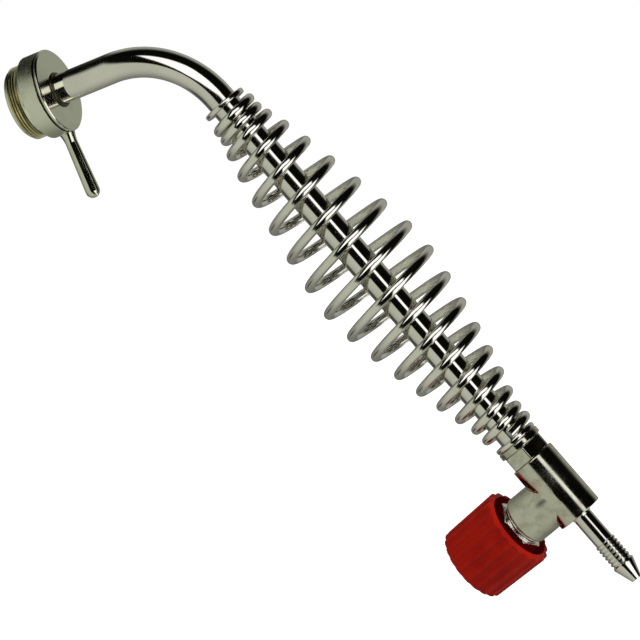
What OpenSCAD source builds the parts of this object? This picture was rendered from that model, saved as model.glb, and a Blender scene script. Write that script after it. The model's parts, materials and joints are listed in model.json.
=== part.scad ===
// Valved gooseneck wand: a screw-in head that swivels on a bent tube, a coil grip
// round the straight of the tube, and a hand valve with a barbed hose tail.
// The head axis is X, the tube bends down in the XZ plane, and the origin lies in
// the middle of the head's threaded wall.

/* [Head] */
// Major diameter of the screw-in thread
thread_d = 29.8; // [28:0.1:36]
// Length of the threaded wall
thread_len = 5.8; // [5:0.1:9]
// Depth of the thread, which the relief groove and the lip clear
thread_depth = 0.9; // [0.5:0.05:1.2]
// Width of the relief groove beside the flange
relief_w = 1.0; // [0.6:0.1:2]
// Width of the plain lip ahead of the thread
lip_w = 0.8; // [0.5:0.1:1.5]
// Diameter of the flange
flange_d = 33.7; // [33:0.1:44]
// Width of the flange
flange_w = 9.3; // [8.5:0.1:14]
// Chamfer round the flange
flange_chamfer = 0.6; // [0.3:0.05:1]
// Distance of the turned groove from the flange's face
groove_back = 2.1; // [1.6:0.1:2.5]
// Width of the turned groove
groove_w = 0.6; // [0.3:0.05:0.7]
// Depth of the turned groove
groove_depth = 0.5; // [0.2:0.05:0.8]

/* [Lever] */
// Diameter of the lever at its root
lever_root_d = 4.9; // [4:0.1:6]
// Diameter of the lever at its rounded end
lever_end_d = 5.8; // [4.5:0.1:7]
// Diameter of the fillet cone where the lever meets the flange
lever_cone_d = 6.6; // [6.2:0.1:7]
// Height of the fillet cone
lever_cone_h = 4.5; // [2:0.1:7]
// Reach of the lever's tip beyond the flange
lever_reach = 27.4; // [15:0.1:45]
// Depth of the lever's socket below the flange's rim
lever_seat = 6.5; // [4:0.1:7]
// Distance of the lever's axis from the flange's face
lever_back = 4.4; // [4.2:0.1:4.8]

/* [Swivel] */
// Wall of the bearing bush in the head
bush_wall = 1.1; // [0.8:0.05:1.6]
// How far the bush stands proud of the flange's face
bush_proud = 0.7; // [0.3:0.1:1.5]
// How far the flange of the tube's nipple stands out beyond the bush
nipple_rim = 2.55; // [2.1:0.05:3]
// Thickness of that flange
nipple_w = 3.0; // [2.2:0.1:4]
// Length of the nipple's sleeve on the tube
sleeve_len = 2.2; // [1.5:0.1:3]
// Wall of that sleeve
sleeve_w = 0.9; // [0.6:0.05:1]
// Thickness of the nipple's lip that the tube's end stands on
nipple_lip = 1.2; // [0.8:0.1:1.5]
// Thickness of the thrust washer behind the nipple
thrust_t = 0.6; // [0.4:0.05:1]
// Thickness of the retaining ring
retainer_t = 0.9; // [0.7:0.05:1.2]
// How deep the retaining ring sits in the head's wall
retainer_bite = 0.9; // [0.6:0.05:1]
// How far the retaining ring covers the nipple's flange
retainer_cover = 0.9; // [0.6:0.1:1.4]
// Width of the slit in the retaining ring
retainer_slit = 3.0; // [2:0.5:5]
// Distance of the retaining ring from the head's front
retainer_back = 1.0; // [0.8:0.1:2]
// Thickness of the face seal on the nipple
seal_t = 2.2; // [1.5:0.1:2.6]
// Width of the face seal's ring
seal_w = 2.6; // [1.8:0.1:2.7]

/* [Tube] */
// Outer diameter of the gooseneck tube
tube_d = 12; // [11.5:0.1:12.3]
// Wall of the gooseneck tube
tube_wall = 1.0; // [0.8:0.1:1.5]
// Distance from the flange's face to the corner of the tube's centre lines
tube_reach = 51.4; // [45:0.1:80]
// Angle through which the tube bends
bend_angle = 71; // [45:1:90]
// Centre line radius of the bend
bend_r = 38.7; // [30:0.1:45]

/* [Coil grip] */
// Diameter of the grip's wire
wire_d = 3.8; // [3:0.1:4.2]
// Turns of the coil
coil_turns = 17.45; // [14:0.05:20]
// Clearance between the tube and the closed turns at both ends
coil_clear = 0.8; // [0.5:0.1:1.6]
// Mean radius of the widest turn
coil_belly_r = 22.9; // [16:0.1:30]
// How much the radius grows with each turn of the cones
cone_step = 2.2; // [1.6:0.05:2.6]
// Turn at which the coil is widest
belly_turn = 8.8; // [7:0.1:10]
// Turns over which the belly is rounded
belly_round = 0.7; // [0.3:0.1:1.5]
// Pitch of the closed turns
closed_pitch = 4.25; // [4.25:0.05:5]
// Pitch of the widest spaced turns
open_pitch = 12.9; // [10:0.1:16]
// Turn at which the pitch is widest
open_turn = 6.3; // [5.5:0.1:7]
// Turns over which the pitch opens out
opening_turns = 4.5; // [3.5:0.1:5.5]
// Turns over which the pitch closes again
closing_turns = 11.0; // [8:0.1:12]
// Angle at which the wire starts
coil_start_angle = 65; // [0:5:355]
// Distance from the end of the bend to the upper stop ring
grip_gap = 2.4; // [1:0.1:10]
// Wall of the two stop rings
stop_ring_wall = 3.1; // [2.6:0.1:4]
// Width of the two stop rings
stop_ring_w = 2.1; // [1.5:0.1:4]
// Rounding of the stop rings' outer edges
stop_ring_round = 0.7; // [0.3:0.05:0.75]

/* [Connector] */
// Diameter of the connector's collar
collar_d = 18.4; // [17:0.1:21]
// Width of the collar
collar_w = 2.6; // [2:0.1:6]
// Across corners size of the connector's hexagon
connector_hex_d = 18.6; // [18.3:0.1:22]
// Length of the hexagon
connector_hex_len = 6.1; // [4:0.1:10]
// Turn of the hexagon about the tube
connector_hex_turn = 10; // [0:1:60]
// Major diameter of the connector's threaded spigot
connector_thread_d = 12; // [11:0.1:13]
// Length of the connector's spigot
connector_thread_len = 5.8; // [5:0.1:6]
// How deep the tube goes into the connector
tube_seat = 5.0; // [4:0.1:6]
// Bore through the connector
connector_bore = 7.6; // [6:0.1:8.5]
// Outer diameter of the connector's seal
connector_seal_d = 15.2; // [14.5:0.1:15.5]
// Thickness of the seals at the two ends of the valve body
body_seal_t = 1.0; // [0.7:0.1:1.5]

/* [Valve body] */
// Diameter of the valve body
body_d = 18.6; // [18.2:0.1:21]
// Length of the valve body
body_len = 28.4; // [28.2:0.1:33]
// Distance of the branch axis from the hose end of the body
branch_back = 11.4; // [11.3:0.1:12.5]
// Diameter of the branch neck
neck_d = 20.3; // [20:0.1:23]
// Reach of the branch neck from the body's axis
neck_reach = 19.3; // [18.5:0.1:24]
// Diameter of the valve chamber
chamber_d = 11; // [10.4:0.1:12]
// Distance of the chamber's floor from the body's axis
chamber_floor = 4.4; // [4.3:0.1:4.8]
// Diameter of the drilling from the hose tail
inlet_d = 4.5; // [3.5:0.1:4.8]
// Diameter of the slanted drilling to the tube
outlet_d = 4.6; // [4:0.1:5]
// How far the branch neck flares where it leaves the body
neck_flare = 3.0; // [2:0.1:4]

/* [Valve parts] */
// How far the valve opens
valve_lift = 1.875; // [1.5:0.125:2.125]
// Bore of the valve seat
seat_bore = 4.0; // [3:0.1:4.2]
// Outer diameter of the valve seat
seat_d = 8.0; // [7.4:0.1:8.4]
// Height of the valve seat above the chamber's floor
seat_height = 1.8; // [1:0.1:2]
// Depth to which the valve seat is pressed into the floor
seat_press = 1.0; // [0.6:0.1:1.2]
// Diameter of the jumper's rubber pad
pad_d = 7.8; // [7.2:0.1:8.4]
// Thickness of the rubber pad
pad_t = 2.0; // [1.5:0.1:2.2]
// Bore of the rubber pad
pad_bore = 2.4; // [2:0.1:3]
// Diameter of the jumper's disc
jumper_d = 9.2; // [8.6:0.1:9.6]
// Thickness of the jumper's disc
jumper_t = 1.6; // [1.2:0.1:1.8]
// Diameter of the jumper's stem
jumper_stem_d = 4.0; // [3:0.1:4.5]
// Length of the jumper's stem
jumper_stem_len = 6.5; // [5:0.1:7]
// Major diameter of the spindle's thread
spindle_d = 7.9; // [7.6:0.1:8.3]
// Side of the spindle's square end
square_w = 5.4; // [5:0.1:5.6]
// Major diameter of the bonnet's thread
bonnet_thread_d = 14; // [13.6:0.1:14.6]
// Across corners size of the bonnet's hexagon
bonnet_hex_d = 22; // [21:0.1:22.6]
// Length of the bonnet's hexagon
bonnet_hex_len = 5.6; // [5:0.1:6.2]
// Diameter of the bonnet's round collar
bonnet_collar_d = 17.6; // [17:0.1:18.5]
// Width of the bonnet's round collar
bonnet_collar_w = 1.5; // [1:0.1:2]
// Thickness of the bonnet's seal
bonnet_seal_t = 0.8; // [0.5:0.1:1.2]
// Diameter of the packing's chamber in the bonnet
packing_d = 11; // [10.6:0.1:11.4]
// Length of the packing
packing_len = 3.0; // [2:0.1:3.4]
// Across corners size of the gland nut
gland_hex_d = 15; // [13.5:0.1:16]
// Length of the gland nut's hexagon
gland_hex_len = 3.4; // [3:0.1:3.8]
// Length of the gland nut's spigot
gland_spigot_len = 3.6; // [3:0.1:4]
// Turn of the gland nut about the spindle
gland_turn = 15; // [0:1:60]

/* [Knob] */
// Diameter of the knob at its rim
knob_d = 32.6; // [32:0.1:38]
// Diameter of the knob at its closed end
knob_end_d = 31.2; // [30.5:0.1:36]
// Length of the knob
knob_len = 26.0; // [25:0.1:32]
// Distance of the rim from the end of the neck
rim_gap = 3.0; // [2:0.1:4]
// Diameter of the knob's opening
knob_mouth_d = 27.5; // [26.5:0.1:28]
// Diameter of the knob's hollow at its floor
knob_floor_d = 25.6; // [25:0.1:26.5]
// Thickness of the knob's closed end
knob_end_t = 3.2; // [3.2:0.1:5]
// Depth of the bevel round the rim
rim_bevel = 1.2; // [0.6:0.1:1.6]
// Radius of the rounding at the closed end
knob_round = 2.6; // [1.5:0.1:3]
// Number of flutes round the knob
flute_count = 20; // [12:1:24]
// Diameter of the cutter that makes a flute
flute_d = 6.0; // [4:0.1:8]
// Depth of a flute
flute_depth = 0.5; // [0.3:0.05:0.8]
// Diameter of the knob's hub
hub_d = 13.0; // [12:0.1:15]
// Distance of the hub from the gland nut
hub_gap = 2.2; // [1:0.1:3]
// Ribs between the hub and the knob's wall
rib_count = 4; // [3:1:8]
// Thickness of a rib
rib_t = 1.6; // [1:0.1:2.5]
// Distance of the ribs from the hub's end
rib_back = 2.5; // [1:0.1:5]
// Diameter of the knob screw's head
screw_head_d = 7.0; // [6:0.1:7.4]
// Thickness of the knob screw's head
screw_head_t = 1.4; // [1:0.1:1.6]
// Length of the knob screw's shank
screw_len = 10.0; // [8:0.5:11]
// Width of the slot in the knob screw's head
screw_slot_w = 1.0; // [0.8:0.1:1.4]
// Diameter of the knob screw's shank
screw_d = 4.0; // [3:0.1:4.2]
// Diameter of the cap over the screw
cap_d = 10.0; // [9:0.1:12]
// Thickness of the cap
cap_t = 1.4; // [1:0.1:1.6]

/* [Hose tail] */
// Diameter of the hose tail's stem
stem_d = 7.9; // [7.2:0.1:9]
// Length of the hose tail beyond the body
tail_len = 33.0; // [30:0.1:45]
// Radius of the fillet at the stem's root
root_fillet = 1.3; // [0.5:0.1:1.8]
// Diameter of the barb at the end
barb_d = 9.3; // [9.1:0.1:11]
// Length of the end barb's cone
barb_len = 8.1; // [6:0.1:10]
// Width of the plain land round the end barb
barb_land = 0.5; // [0.3:0.1:1]
// Diameter of the tip
tip_d = 4.3; // [4.2:0.1:5]
// Number of fine ridges
ridge_count = 6; // [3:1:8]
// Pitch of the fine ridges
ridge_pitch = 1.68; // [1.3:0.02:1.9]
// Diameter over the fine ridges
ridge_d = 8.8; // [8.4:0.1:9]
// Depth of the grooves between the ridges
ridge_depth = 0.75; // [0.3:0.05:0.9]
// Bore of the hose tail
tail_bore = 3.0; // [2:0.1:3.2]
// Major diameter of the hose tail's threaded end
tail_thread_d = 8.8; // [8.4:0.1:9.2]
// Length of the hose tail's threaded end
tail_thread_len = 5.0; // [4.5:0.1:5.4]
// Outer diameter of the hose tail's seal
tail_seal_d = 12.0; // [11.4:0.1:13]

/* [Hidden] */
$fn = 64;

// clearances
run_gap = 0.05;      // a piece that turns or slides in another
fit_gap = 0.02;      // a piece that is pressed, screwed or brazed into another
face_gap = 0.1;      // flat faces that stand off each other
loose_gap = 0.3;     // round a head or beside a foot that must not bear
spare = 0.5;         // depth left in a bore beyond what goes into it
cut = 1;             // how far a cutter runs past the face it opens
chamfer = 0.4;       // small edge chamfers

// head, along X
head_front = -thread_len/2 - lip_w;
flange_back = thread_len/2 + relief_w;
face_x = flange_back + flange_w;
retainer_x = head_front + retainer_back;
nipple_x = retainer_x + retainer_t + face_gap;
thrust_x = nipple_x + nipple_w + run_gap;
shoulder_x = thrust_x + thrust_t + run_gap;
bush_x = nipple_x + nipple_w + sleeve_len + thrust_t + face_gap;
bush_d = tube_d + 2*run_gap + 2*bush_wall;
nipple_d = bush_d + 2*nipple_rim;
tube_start_x = nipple_x + nipple_lip;
counterbore_r = nipple_d/2 + 2*run_gap + face_gap;
sleeve_r = tube_d/2 + sleeve_w;

// lever, down from the head's axis
lever_x = face_x - lever_back;
lever_flat_r = lever_cone_d/2 + 2*face_gap;
lever_flat = sqrt(pow(flange_d/2, 2) - pow(lever_flat_r, 2)) - face_gap;
lever_foot = flange_d/2 - lever_seat;
lever_tip = flange_d/2 + lever_reach;

// gooseneck
corner_x = face_x + tube_reach;
tangent_len = bend_r*tan(bend_angle/2);
bend_x = corner_x - tangent_len;
bore_r = tube_d/2 - tube_wall;
land_w = 1;          // width of the land where the bend meets the straight
land_h = 0.1;        // height of that land

// coil grip, along the handle from the corner
coil_rings = 24;
coil_sides = 6;
end_blend = wire_d/10;  // how softly the closed turns run into the cones, in mm
stop_ring_d = tube_d + 2*stop_ring_wall;
coil_end_r = tube_d/2 + coil_clear + wire_d/2;
end_run = wire_d*closed_pitch/(2*PI*coil_end_r);  // how far each straight end runs on
upper_ring_s = tangent_len + grip_gap;
coil_s = upper_ring_s + stop_ring_w + face_gap + wire_d/2 + end_run;
function spread(x) = x - pow(x, 3)/3;
function side_turns(t) = t < open_turn ? opening_turns : closing_turns;
function inside(x) = max(-1, min(1, x));
function rise(t) = closed_pitch*t
    + (open_pitch - closed_pitch)*side_turns(t)*spread(inside((t - open_turn)/side_turns(t)));
function coil_height(t) = coil_s + rise(t) - rise(0);
function cone_r(t) = coil_belly_r
    - cone_step*(sqrt(pow(t - belly_turn, 2) + pow(belly_round, 2)) - belly_round);
function coil_radius(t) = coil_end_r
    + end_blend*ln(1 + exp((cone_r(t) - coil_end_r)/end_blend));
function coil_angle(t) = coil_start_angle + 360*t;
function coil_point(t) = [
    coil_radius(t)*cos(coil_angle(t)), coil_radius(t)*sin(coil_angle(t)), coil_height(t)
];
coil_steps = round(coil_turns*coil_rings);
coil_turn_list = [for (i = [0:coil_steps]) i*coil_turns/coil_steps];
coil_end_s = coil_height(coil_turns);

// rest of the handle, along the handle from the corner
lower_ring_s = coil_end_s + end_run + wire_d/2 + face_gap;
collar_s = lower_ring_s + stop_ring_w + face_gap;
hex_s = collar_s + collar_w;
body_s = hex_s + connector_hex_len;
tube_end_s = collar_s + tube_seat;
body_end_s = body_s + body_len;
branch_s = body_end_s - branch_back;
tail_end_s = body_end_s + tail_len;
connector_end_s = body_s + connector_thread_len;

// valve, along the branch axis from the body's axis
seat_top = chamber_floor + seat_height;
pad_x = seat_top + face_gap;
disc_x = pad_x + pad_t;
disc_top = disc_x + jumper_t;
chamber_top = disc_top + valve_lift + spare;
spindle_x = disc_top + run_gap;
bonnet_foot = chamber_top + loose_gap;
bonnet_x = neck_reach + bonnet_seal_t;
bonnet_hex_x = bonnet_x + bonnet_collar_w;
bonnet_top = bonnet_hex_x + bonnet_hex_len;
gland_x = bonnet_top + face_gap;
gland_foot = bonnet_top - gland_spigot_len;
gland_top = gland_x + gland_hex_len;
packing_x = gland_foot - face_gap - packing_len;
socket_end_s = connector_end_s + spare;

// knob, along the branch axis
rim_x = neck_reach + rim_gap;
knob_end_x = rim_x + knob_len;
knob_floor_x = knob_end_x - knob_end_t;
hub_x = gland_top + hub_gap;
cap_x = knob_end_x - cap_t;
screw_x = cap_x - face_gap - screw_head_t;
hub_top = screw_x - face_gap;
spindle_top = hub_top - face_gap;
screw_foot = screw_x - screw_len;
rib_x = hub_x + rib_back;
flute_lean = atan((knob_d - knob_end_d)/2/(knob_len - rim_bevel));

module along_x() { rotate([0, 90, 0]) children(); }
module along_handle() { translate([corner_x, 0, 0]) rotate([0, 90 + bend_angle, 0]) children(); }
module along_branch() {
    along_handle() translate([0, 0, branch_s]) rotate([0, 90, 0]) children();
}
// a solid cylinder from one height to another
module rod(r, from, to) { translate([0, 0, from]) cylinder(r = r, h = to - from); }
// a cone or a taper from one height to another
module taper(r1, r2, from, to) { translate([0, 0, from]) cylinder(r1 = r1, r2 = r2, h = to - from); }
// a ring from one height to another
module ring(r_out, r_in, from, to) {
    difference() {
        rod(r_out, from, to);
        rod(r_in, from - cut, to + cut);
    }
}
// a rod with both its edges chamfered
module chamfered_rod(r, from, to, c) {
    taper(r - c, r, from, from + c);
    rod(r, from + c, to - c);
    taper(r, r - c, to - c, to);
}
// a hexagonal rod whose corners are turned off at both ends
module hex_rod(r, from, to, turn) {
    intersection() {
        translate([0, 0, from]) rotate([0, 0, turn]) cylinder(r = r, h = to - from, $fn = 6);
        chamfered_rod(r + face_gap, from, to, chamfer + face_gap);
    }
}

module screw_head() {
    color("gainsboro") along_x() difference() {
        union() {
            taper(thread_d/2 - thread_depth - chamfer, thread_d/2 - thread_depth,
                head_front, head_front + chamfer);
            rod(thread_d/2 - thread_depth, head_front + chamfer, flange_back + chamfer);
            rod(thread_d/2, -thread_len/2, thread_len/2);
            chamfered_rod(flange_d/2, flange_back, face_x, flange_chamfer);
        }
        rod(counterbore_r, head_front - cut, shoulder_x);
        rod(counterbore_r + retainer_bite, retainer_x - run_gap, retainer_x + retainer_t + run_gap);
        rod(bush_d/2 + fit_gap, shoulder_x - cut, face_x + cut);
        ring(flange_d/2 + cut, flange_d/2 - groove_depth,
            face_x - groove_back - groove_w, face_x - groove_back);
        translate([0, 0, lever_x]) rotate([0, 90, 0]) {
            rod(lever_root_d/2 + fit_gap, lever_foot - face_gap, flange_d/2 + cut);
            rod(lever_flat_r, lever_flat, flange_d/2 + cut);
        }
    }
}

// half outline of the lever: socket end, fillet cone, swelling shank and round end
module lever_profile() {
    ball_r = lever_end_d/2;
    polygon([
        [0, lever_foot], [lever_root_d/2, lever_foot],
        [lever_root_d/2, lever_flat + face_gap], [lever_cone_d/2, lever_flat + face_gap],
        [lever_root_d/2, lever_flat + lever_cone_h],
        [ball_r, lever_tip - ball_r], [0, lever_tip - ball_r]
    ]);
    intersection() {
        translate([0, lever_tip - ball_r]) circle(r = ball_r);
        translate([0, lever_tip - 1.5*ball_r]) square(2*ball_r);
    }
}

module tommy_bar() {
    color("silver") translate([lever_x, 0, 0]) rotate([0, 180, 0]) rotate_extrude() lever_profile();
}

module swivel_bush() {
    color("goldenrod") along_x()
        ring(bush_d/2, tube_d/2 + run_gap, bush_x, face_x + bush_proud);
}

module retaining_ring() {
    color("dimgray") along_x() difference() {
        ring(counterbore_r + retainer_bite - face_gap, nipple_d/2 - retainer_cover,
            retainer_x, retainer_x + retainer_t);
        translate([0, -retainer_slit/2, retainer_x - cut])
            cube([nipple_d, retainer_slit, retainer_t + 2*cut]);
    }
}

module thrust_washer() {
    color("ivory") along_x()
        ring(nipple_d/2 - face_gap, sleeve_r + face_gap, thrust_x, thrust_x + thrust_t);
}

module tube_nipple() {
    color("darkkhaki") along_x() difference() {
        union() {
            rod(nipple_d/2, nipple_x, nipple_x + nipple_w);
            rod(sleeve_r, nipple_x, nipple_x + nipple_w + sleeve_len);
        }
        rod(bore_r, nipple_x - cut, nipple_x + nipple_w);
        rod(tube_d/2 + fit_gap, tube_start_x - fit_gap, nipple_x + nipple_w + sleeve_len + cut);
    }
}

module face_seal() {
    color("black") along_x()
        ring(bore_r + loose_gap + seal_w, bore_r + loose_gap, nipple_x - seal_t, nipple_x);
}

// a round run along the gooseneck, with a low land where the bend meets the straight
module tube_run(r, over) {
    along_x() rod(r, tube_start_x - over, bend_x);
    translate([bend_x, 0, -bend_r]) rotate([90, 0, 0])
        rotate_extrude(angle = bend_angle, start = 90 - bend_angle)
            translate([bend_r, 0]) circle(r = r);
    along_handle() {
        rod(r + land_h, tangent_len - land_w/2, tangent_len + land_w/2);
        rod(r, tangent_len + land_w/4, tube_end_s + over);
    }
}

module gooseneck_tube() {
    color("silver") difference() {
        tube_run(tube_d/2, 0);
        tube_run(bore_r, cut);
    }
}

module stop_ring(from) {
    along_handle() difference() {
        chamfered_rod(stop_ring_d/2, from, from + stop_ring_w, stop_ring_round);
        rod(tube_d/2 + fit_gap, from - cut, from + stop_ring_w + cut);
    }
}

module upper_stop_ring() { color("silver") stop_ring(upper_ring_s); }
module lower_stop_ring() { color("silver") stop_ring(lower_ring_s); }

function unit(v) = v/norm(v);
function coil_tangent(t) = unit(coil_point(t + 1/720) - coil_point(t - 1/720));
// one hexagonal ring of the wire, square to the tangent t at the point p
function wire_ring(p, tangent, angle) =
    let (outward = [cos(angle), sin(angle), 0],
         across = unit(outward - (outward*tangent)*tangent),
         along = cross(tangent, across))
    [for (k = [0:coil_sides - 1])
        p + wire_d/2*(cos(360*k/coil_sides)*across + sin(360*k/coil_sides)*along)];

coil_centres = concat(
    [coil_point(0) - wire_d*coil_tangent(0)],
    [for (t = coil_turn_list) coil_point(t)],
    [coil_point(coil_turns) + wire_d*coil_tangent(coil_turns)]
);
ring_turns = concat([0], coil_turn_list, [coil_turns]);
coil_points = [for (i = [0:len(coil_centres) - 1])
    each wire_ring(coil_centres[i], coil_tangent(ring_turns[i]), coil_angle(ring_turns[i]))];

// least gap of the wire to itself, from each point to those about one turn on
near_turn = coil_rings/4;
coil_gaps = [for (i = [0:len(coil_centres) - 1])
    for (j = [i + coil_rings - near_turn:min(i + coil_rings + near_turn, len(coil_centres) - 1)])
        norm(coil_centres[j] - coil_centres[i]) - wire_d];
echo(least_coil_gap = min(coil_gaps));

function side_faces(i) = [for (k = [0:coil_sides - 1])
    let (a = i*coil_sides + k, b = i*coil_sides + (k + 1)%coil_sides)
        each [[a, b + coil_sides, b], [a, a + coil_sides, b + coil_sides]]];
function cap_faces(first, turned) = [for (k = [1:coil_sides - 2])
    turned ? [first, first + k + 1, first + k] : [first, first + k, first + k + 1]];

module coil_grip() {
    last = len(coil_centres) - 1;
    color("silver") along_handle() polyhedron(
        points = coil_points,
        faces = concat(
            cap_faces(0, false),
            [for (i = [0:last - 1]) each side_faces(i)],
            cap_faces(last*coil_sides, true)
        )
    );
}

module tube_connector() {
    color("silver") along_handle() difference() {
        union() {
            chamfered_rod(collar_d/2, collar_s, hex_s, chamfer);
            hex_rod(connector_hex_d/2, hex_s - fit_gap, body_s, connector_hex_turn);
            rod(connector_thread_d/2, body_s - cut, connector_end_s);
        }
        rod(tube_d/2 + fit_gap, collar_s - cut, tube_end_s + fit_gap);
        rod(connector_bore/2, collar_s, connector_end_s + cut);
    }
}

module connector_seal() {
    color("chocolate") along_handle()
        ring(connector_seal_d/2, connector_thread_d/2 + face_gap, body_s + fit_gap, body_s + body_seal_t);
}

// a tee: the body along the handle, its branch neck, and the drilled ways through the seat
module valve_body() {
    outlet_from = socket_end_s - outlet_d/4;
    outlet_rise = chamber_floor + outlet_d/2;
    outlet_run = branch_s - chamber_d/4 - outlet_from;
    color("silver") difference() {
        union() {
            along_handle() {
                rod(body_d/2, body_s, body_end_s - chamfer);
                taper(body_d/2, body_d/2 - chamfer, body_end_s - chamfer, body_end_s);
            }
            along_branch() {
                taper(body_d/2 - chamfer, neck_d/2, -neck_flare, neck_flare);
                rod(neck_d/2, neck_flare, neck_reach - chamfer);
                taper(neck_d/2, neck_d/2 - chamfer, neck_reach - chamfer, neck_reach);
            }
        }
        along_handle() {
            rod(connector_seal_d/2 + face_gap, body_s - cut, body_s + body_seal_t + fit_gap);
            rod(connector_thread_d/2 + fit_gap, body_s - cut, socket_end_s);
            rod(tail_seal_d/2 + face_gap, body_end_s - body_seal_t - fit_gap, body_end_s + cut);
            rod(tail_thread_d/2 + fit_gap, body_end_s - tail_thread_len - face_gap, body_end_s);
            rod(inlet_d/2, branch_s - inlet_d/2, body_end_s);
            translate([0, 0, outlet_from]) rotate([0, atan2(outlet_rise, outlet_run), 0])
                cylinder(d = outlet_d, h = norm([outlet_rise, outlet_run]));
        }
        along_branch() {
            rod(seat_bore/2, 0, chamber_top);
            rod(seat_d/2 + fit_gap, chamber_floor - seat_press, chamber_top);
            rod(chamber_d/2, chamber_floor, chamber_top + cut);
            rod(bonnet_thread_d/2 + fit_gap, chamber_top, neck_reach + cut);
        }
    }
}

module valve_seat() {
    lip = (seat_d - seat_bore)/4;
    color("goldenrod") along_branch() difference() {
        union() {
            rod(seat_d/2, chamber_floor - seat_press, chamber_floor + fit_gap);
            taper(seat_d/2, seat_bore/2 + lip, chamber_floor, seat_top);
        }
        rod(seat_bore/2, chamber_floor - seat_press - cut, seat_top + cut);
    }
}

module bonnet() {
    color("silver") along_branch() difference() {
        union() {
            rod(bonnet_thread_d/2, bonnet_foot, bonnet_x + cut);
            rod(bonnet_collar_d/2, bonnet_x, bonnet_hex_x + fit_gap);
            hex_rod(bonnet_hex_d/2, bonnet_hex_x, bonnet_top, 0);
        }
        rod(spindle_d/2 + run_gap, bonnet_foot - cut, bonnet_top);
        rod(packing_d/2, packing_x, bonnet_top + cut);
    }
}

module bonnet_seal() {
    color("chocolate") along_branch()
        ring(bonnet_collar_d/2 - face_gap, bonnet_thread_d/2 + face_gap, neck_reach, bonnet_x);
}

module stem_packing() {
    color("ivory") along_branch()
        ring(packing_d/2 - fit_gap, spindle_d/2 + run_gap, packing_x, packing_x + packing_len);
}

module gland_nut() {
    color("silver") along_branch() difference() {
        union() {
            rod(packing_d/2 - fit_gap, gland_foot, gland_x + fit_gap);
            hex_rod(gland_hex_d/2, gland_x, gland_top, gland_turn);
        }
        rod(spindle_d/2 + run_gap, gland_foot - cut, gland_top + cut);
    }
}

module jumper() {
    color("goldenrod") along_branch() {
        rod(pad_bore/2 - fit_gap, pad_x + spare, disc_x + fit_gap);
        rod(jumper_d/2, disc_x, disc_top);
        rod(jumper_stem_d/2, disc_top - fit_gap, disc_top + jumper_stem_len);
    }
}

module jumper_pad() {
    color("black") along_branch() ring(pad_d/2, pad_bore/2, pad_x, disc_x);
}

module spindle() {
    color("goldenrod") along_branch() difference() {
        union() {
            rod(spindle_d/2, spindle_x, hub_x);
            intersection() {
                rod(spindle_d/2, hub_x - cut, spindle_top);
                translate([-square_w/2, -square_w/2, hub_x - cut])
                    cube([square_w, square_w, spindle_top - hub_x + cut]);
            }
        }
        rod(jumper_stem_d/2 + run_gap, spindle_x - cut, disc_top + jumper_stem_len + spare);
        rod(screw_d/2 + fit_gap, screw_foot - spare, spindle_top + cut);
    }
}

// the knob's outside: a bevelled rim, a slight taper and a rounded closed end
module knob_profile() {
    end_r = knob_end_d/2;
    difference() {
        polygon([
            [0, rim_x], [knob_mouth_d/2, rim_x], [knob_d/2, rim_x + rim_bevel],
            [end_r, knob_end_x], [0, knob_end_x]
        ]);
        translate([end_r - knob_round, knob_end_x - knob_round]) difference() {
            square(knob_round + cut);
            circle(r = knob_round);
        }
    }
}

// the flutes lean with the knob's taper
module control_knob() {
    color("firebrick") along_branch() difference() {
        union() {
            difference() {
                rotate_extrude() knob_profile();
                taper(knob_mouth_d/2, knob_floor_d/2, rim_x, knob_floor_x);
                rod(knob_mouth_d/2, rim_x - cut, rim_x);
            }
            rod(hub_d/2, hub_x, knob_floor_x + cut);
            for (k = [0:rib_count - 1]) rotate([0, 0, 360*(k + 0.5)/rib_count])
                translate([0, -rib_t/2, rib_x])
                    cube([(knob_floor_d + knob_mouth_d)/4, rib_t, knob_floor_x + cut - rib_x]);
        }
        for (k = [0:flute_count - 1]) rotate([0, 0, 360*k/flute_count])
            translate([knob_end_d/2 + flute_d/2 - flute_depth, 0, knob_end_x])
                rotate([0, -flute_lean, 0]) rod(flute_d/2, -knob_len - cut, cut);
        translate([-square_w/2 - fit_gap, -square_w/2 - fit_gap, hub_x - cut])
            cube([square_w + 2*fit_gap, square_w + 2*fit_gap, hub_top - hub_x + 2*cut]);
        rod(cap_d/2 + fit_gap, cap_x - fit_gap, knob_end_x + cut);
        rod(screw_head_d/2 + loose_gap, hub_top, knob_end_x);
    }
}

module knob_screw() {
    color("gray") along_branch() difference() {
        union() {
            rod(screw_d/2, screw_foot, screw_x + fit_gap);
            rod(screw_head_d/2, screw_x, screw_x + screw_head_t);
        }
        translate([-screw_head_d, -screw_slot_w/2, screw_x + screw_head_t/2])
            cube([2*screw_head_d, screw_slot_w, screw_head_t]);
    }
}

module knob_cap() {
    color("firebrick") along_branch() {
        rod(cap_d/2, cap_x, knob_end_x - chamfer);
        taper(cap_d/2, cap_d/2 - chamfer, knob_end_x - chamfer, knob_end_x);
    }
}

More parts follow.
